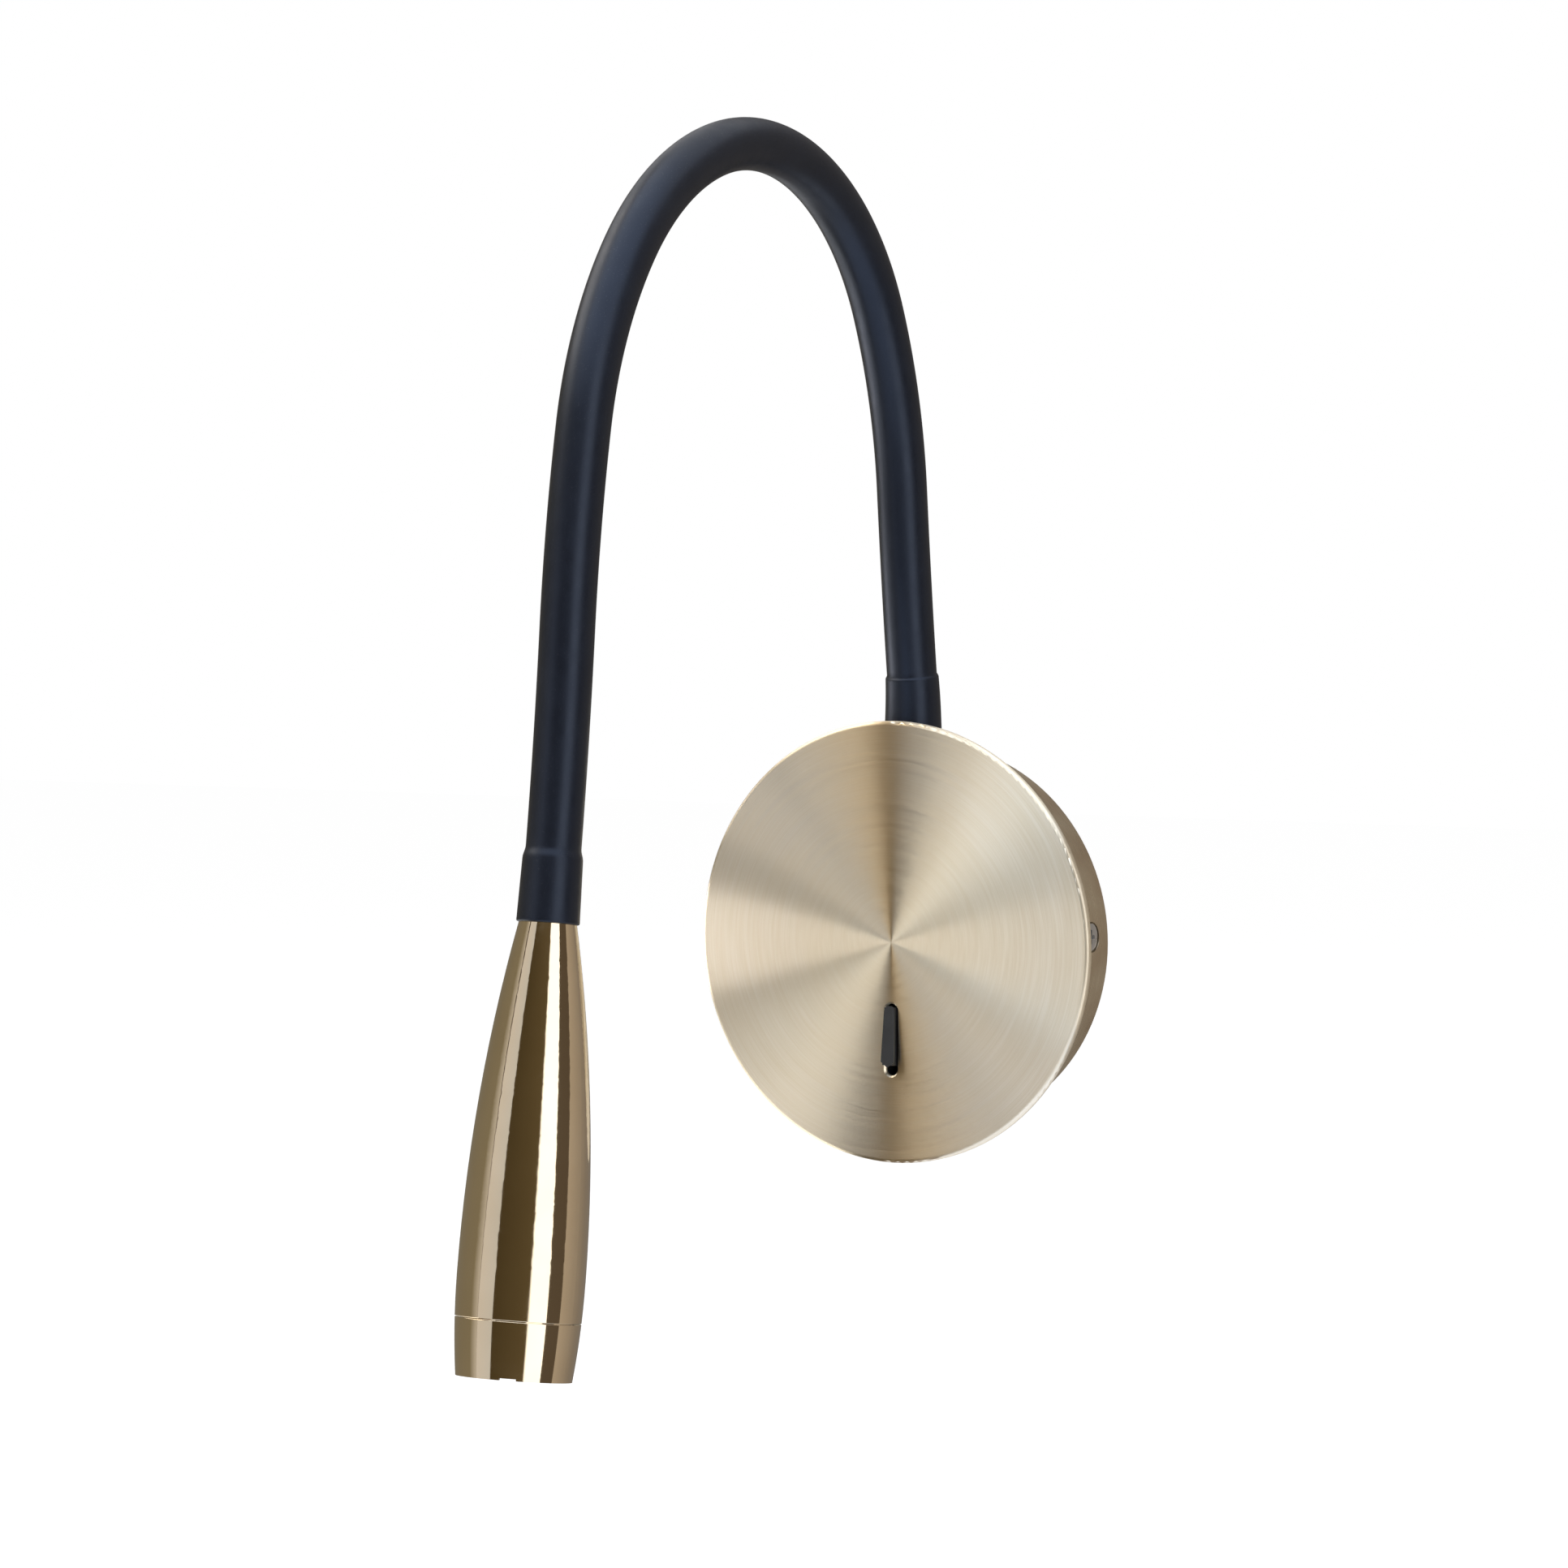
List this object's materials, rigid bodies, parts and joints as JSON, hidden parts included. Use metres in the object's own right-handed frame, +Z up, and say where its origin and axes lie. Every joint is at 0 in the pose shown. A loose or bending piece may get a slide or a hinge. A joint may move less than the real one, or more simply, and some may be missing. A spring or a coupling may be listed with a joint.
{
  "type": "bedside wall reading lamp",
  "caption": "Round wall unit with a rocker switch, a bendable sleeved gooseneck arm and a slim turned LED reading head.",
  "frame": {"origin": "centre of the back of the wall unit, on the wall, at the middle of the bracket's fixing slots", "axes": "+Z up; the front faces -Y; +X to the right as seen from the front; +Y points into the wall"},
  "size_m": [0.12, 0.2249, 0.312],
  "materials": {
    "plate_brass": "satin champagne brass with circular brushing",
    "drum_brass": "satin brown brass",
    "head_brass": "polished antique brass",
    "black_sleeve": "matt black silicone",
    "black_switch": "satin black moulded plastic",
    "zinc_steel": "bright zinc-plated sheet steel",
    "zinc_screws": "bright zinc-plated turned steel",
    "spring_steel": "wound steel gooseneck",
    "fitting_brass": "turned brass",
    "black_plastic": "black moulded plastic",
    "white_plastic": "white moulded plastic",
    "natural_nylon": "natural nylon",
    "grey_cable": "grey cable sheath",
    "brown_wire": "brown wire insulation",
    "blue_wire": "blue wire insulation",
    "earth_wire": "green and yellow wire insulation",
    "red_wire": "red wire insulation",
    "sink_aluminium": "turned aluminium",
    "board_white": "white solder mask",
    "led_yellow": "yellow phosphor",
    "clear_lens": "clear moulded optic",
    "clear_glass": "clear flat glass",
    "seal_rubber": "black rubber seal"
  },
  "bodies": {
    "wall_unit": {"wall_bracket": "zinc_steel", "lock_screws": "zinc_screws", "bracket_earth_screw": "zinc_screws", "rear_housing": "drum_brass", "front_plate": "plate_brass", "plate_nuts": "zinc_screws", "switch_body": "black_plastic", "switch_pivot_pin": "zinc_screws", "switch_blades": "fitting_brass", "led_driver": "white_plastic", "terminal_block": "natural_nylon", "terminal_screws": "zinc_screws", "earth_tag": "fitting_brass", "cord_grip_base": "black_plastic", "cord_grip_cap": "black_plastic", "cord_grip_screws": "zinc_screws", "live_leads": "brown_wire", "neutral_lead": "blue_wire", "earth_lead": "earth_wire", "lamp_leads": "red_wire", "root_fitting": "fitting_brass", "root_washer": "zinc_screws", "root_locknut": "fitting_brass", "gooseneck_root": "spring_steel", "sleeve_1": "black_sleeve", "lamp_cable_1": "grey_cable"},
    "arm_1": {"gooseneck_link_1": "spring_steel", "sleeve_2": "black_sleeve", "lamp_cable_2": "grey_cable"},
    "arm_2": {"gooseneck_link_2": "spring_steel", "sleeve_3": "black_sleeve", "lamp_cable_3": "grey_cable"},
    "arm_3": {"gooseneck_link_3": "spring_steel", "sleeve_4": "black_sleeve", "lamp_cable_4": "grey_cable"},
    "arm_4": {"gooseneck_link_4": "spring_steel", "sleeve_5": "black_sleeve", "lamp_cable_5": "grey_cable"},
    "arm_5": {"gooseneck_link_5": "spring_steel", "sleeve_6": "black_sleeve", "lamp_cable_6": "grey_cable"},
    "arm_6": {"gooseneck_link_6": "spring_steel", "sleeve_7": "black_sleeve", "lamp_cable_7": "grey_cable"},
    "arm_7": {"gooseneck_link_7": "spring_steel", "sleeve_8": "black_sleeve", "lamp_cable_8": "grey_cable"},
    "head": {"gooseneck_tip": "spring_steel", "head_ferrule": "fitting_brass", "head_shell": "head_brass", "heat_sink": "sink_aluminium", "led_board": "board_white", "led_emitter": "led_yellow", "lens_holder": "black_plastic", "collimator_lens": "clear_lens", "front_glass": "clear_glass", "o_ring": "seal_rubber", "retaining_ring": "head_brass", "head_leads": "red_wire"},
    "rocker": {"switch_lever": "black_switch"}
  },
  "joints": [
    {"name": "arm_bend_1", "type": "hinge", "parent": "wall_unit", "child": "arm_1", "pos_m": [0, -0.0177, 0.09718], "axis": [1, 0, 0], "range_deg": [-12, 32], "deforming": ["sleeve_1", "lamp_cable_1"]},
    {"name": "arm_sway_2", "type": "hinge", "parent": "arm_1", "child": "arm_2", "pos_m": [0, -0.02469, 0.14642], "axis": [0, 0.9643, 0.2647], "range_deg": [-35, 35], "deforming": ["sleeve_2", "lamp_cable_2"]},
    {"name": "arm_bend_3", "type": "hinge", "parent": "arm_2", "child": "arm_3", "pos_m": [0, -0.04768, 0.18994], "axis": [1, 0, 0], "range_deg": [-35, 7], "deforming": ["sleeve_3", "lamp_cable_3"]},
    {"name": "arm_bend_4", "type": "hinge", "parent": "arm_3", "child": "arm_4", "pos_m": [0, -0.09196, 0.21044], "axis": [1, 0, 0], "range_deg": [-35, 7], "deforming": ["sleeve_4", "lamp_cable_4"]},
    {"name": "arm_sway_5", "type": "hinge", "parent": "arm_4", "child": "arm_5", "pos_m": [0, -0.13926, 0.19804], "axis": [0, -0.5439, 0.8391], "range_deg": [-35, 35], "deforming": ["sleeve_5", "lamp_cable_5"]},
    {"name": "arm_bend_6", "type": "hinge", "parent": "arm_5", "child": "arm_6", "pos_m": [0, -0.17111, 0.16057], "axis": [-1, 0, 0], "range_deg": [-19, 27], "deforming": ["sleeve_6", "lamp_cable_6"]},
    {"name": "arm_sway_7", "type": "hinge", "parent": "arm_6", "child": "arm_7", "pos_m": [0, -0.18347, 0.11253], "axis": [0, -0.9889, 0.1487], "range_deg": [-35, 35], "deforming": ["sleeve_7", "lamp_cable_7"]},
    {"name": "head_tilt", "type": "hinge", "parent": "arm_7", "child": "head", "pos_m": [0, -0.18907, 0.06305], "axis": [-1, 0, 0], "range_deg": [-28, 32], "deforming": ["sleeve_8", "lamp_cable_8"]},
    {"name": "rocker_press", "type": "hinge", "parent": "wall_unit", "child": "rocker", "pos_m": [0, -0.014, -0.02645], "axis": [1, 0, 0], "range_deg": [0, 9]}
  ]
}
